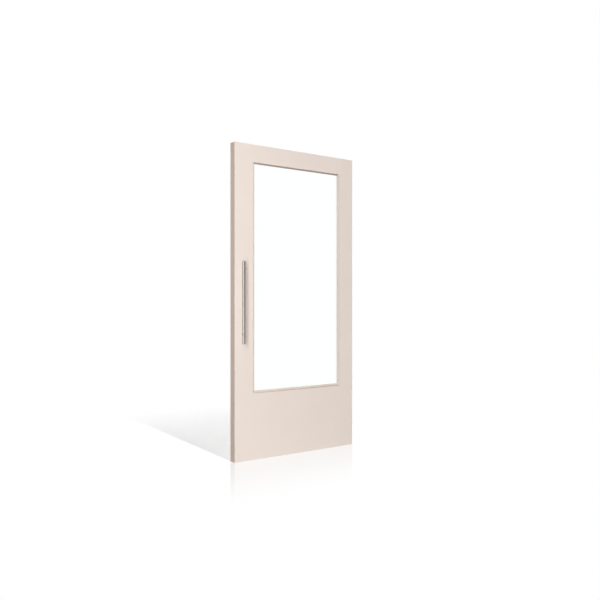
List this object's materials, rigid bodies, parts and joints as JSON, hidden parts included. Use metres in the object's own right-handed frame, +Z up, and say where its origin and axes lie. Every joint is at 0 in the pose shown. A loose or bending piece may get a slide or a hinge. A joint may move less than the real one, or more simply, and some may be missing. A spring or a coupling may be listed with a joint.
{
  "type": "glazed door leaf",
  "caption": "Solid door leaf in satin pale beige lacquer with a tall clear glass light, raised glazing beads, a vertical pull bar and butt hinges on its back edge.",
  "frame": {"origin": "middle of the leaf's bottom edge, in the middle of its thickness", "axes": "+Z up the leaf, +X from the lock edge to the hinge edge, -Y out of the front face that carries the pull bar"},
  "size_m": [1.0385, 0.131, 2.115],
  "materials": {
    "carcass_timber": "planed softwood, unfinished, hidden inside the leaf",
    "core_board": "raw particle board, hidden inside the leaf",
    "dowel_beech": "plain beech",
    "lacquered_board": "satin lacquer, pale pinkish beige, very fine sprayed texture",
    "lacquered_hardwood": "the same satin lacquer over hardwood",
    "clear_glass": "clear, polished, a faint green in its edge",
    "glazing_tape": "soft dark foam tape",
    "glazing_block": "grey packers",
    "bead_screw_steel": "bright stainless",
    "bar_steel": "stainless, brushed round the bar, satin",
    "post_nylon": "thin nylon washers",
    "hinge_steel": "satin stainless",
    "hinge_screw_steel": "bright stainless"
  },
  "bodies": {
    "frame_side": {"lower_frame_wing": "hinge_steel", "lower_hinge_pin": "hinge_steel", "middle_frame_wing": "hinge_steel", "middle_hinge_pin": "hinge_steel", "upper_frame_wing": "hinge_steel", "upper_hinge_pin": "hinge_steel", "hinge_washers": "hinge_steel"},
    "leaf": {"lock_stile": "carcass_timber", "hinge_stile": "carcass_timber", "top_rail": "carcass_timber", "middle_rail": "carcass_timber", "bottom_rail": "carcass_timber", "lower_core": "core_board", "rail_dowels": "dowel_beech", "front_skin": "lacquered_board", "back_skin": "lacquered_board", "lock_lipping": "lacquered_hardwood", "hinge_lipping": "lacquered_hardwood", "top_lipping": "lacquered_hardwood", "bottom_lipping": "lacquered_hardwood", "front_bead_lock": "lacquered_hardwood", "front_bead_hinge": "lacquered_hardwood", "front_bead_top": "lacquered_hardwood", "front_bead_bottom": "lacquered_hardwood", "back_bead_lock": "lacquered_hardwood", "back_bead_hinge": "lacquered_hardwood", "back_bead_top": "lacquered_hardwood", "back_bead_bottom": "lacquered_hardwood", "glass_pane": "clear_glass", "front_glazing_tape": "glazing_tape", "back_glazing_tape": "glazing_tape", "setting_blocks": "glazing_block", "locating_blocks": "glazing_block", "back_bead_screws": "bead_screw_steel", "handle_bar": "bar_steel", "handle_caps": "bar_steel", "lower_handle_post": "bar_steel", "upper_handle_post": "bar_steel", "handle_bolts": "bar_steel", "post_washers": "post_nylon", "lower_leaf_wing": "hinge_steel", "middle_leaf_wing": "hinge_steel", "upper_leaf_wing": "hinge_steel", "hinge_screws": "hinge_screw_steel"}
  },
  "joints": [
    {"name": "leaf_swing", "type": "hinge", "parent": "frame_side", "child": "leaf", "pos_m": [0.5165, 0.0345, 1.0825], "axis": [0, 0, -1], "range_deg": [0, 180]}
  ]
}
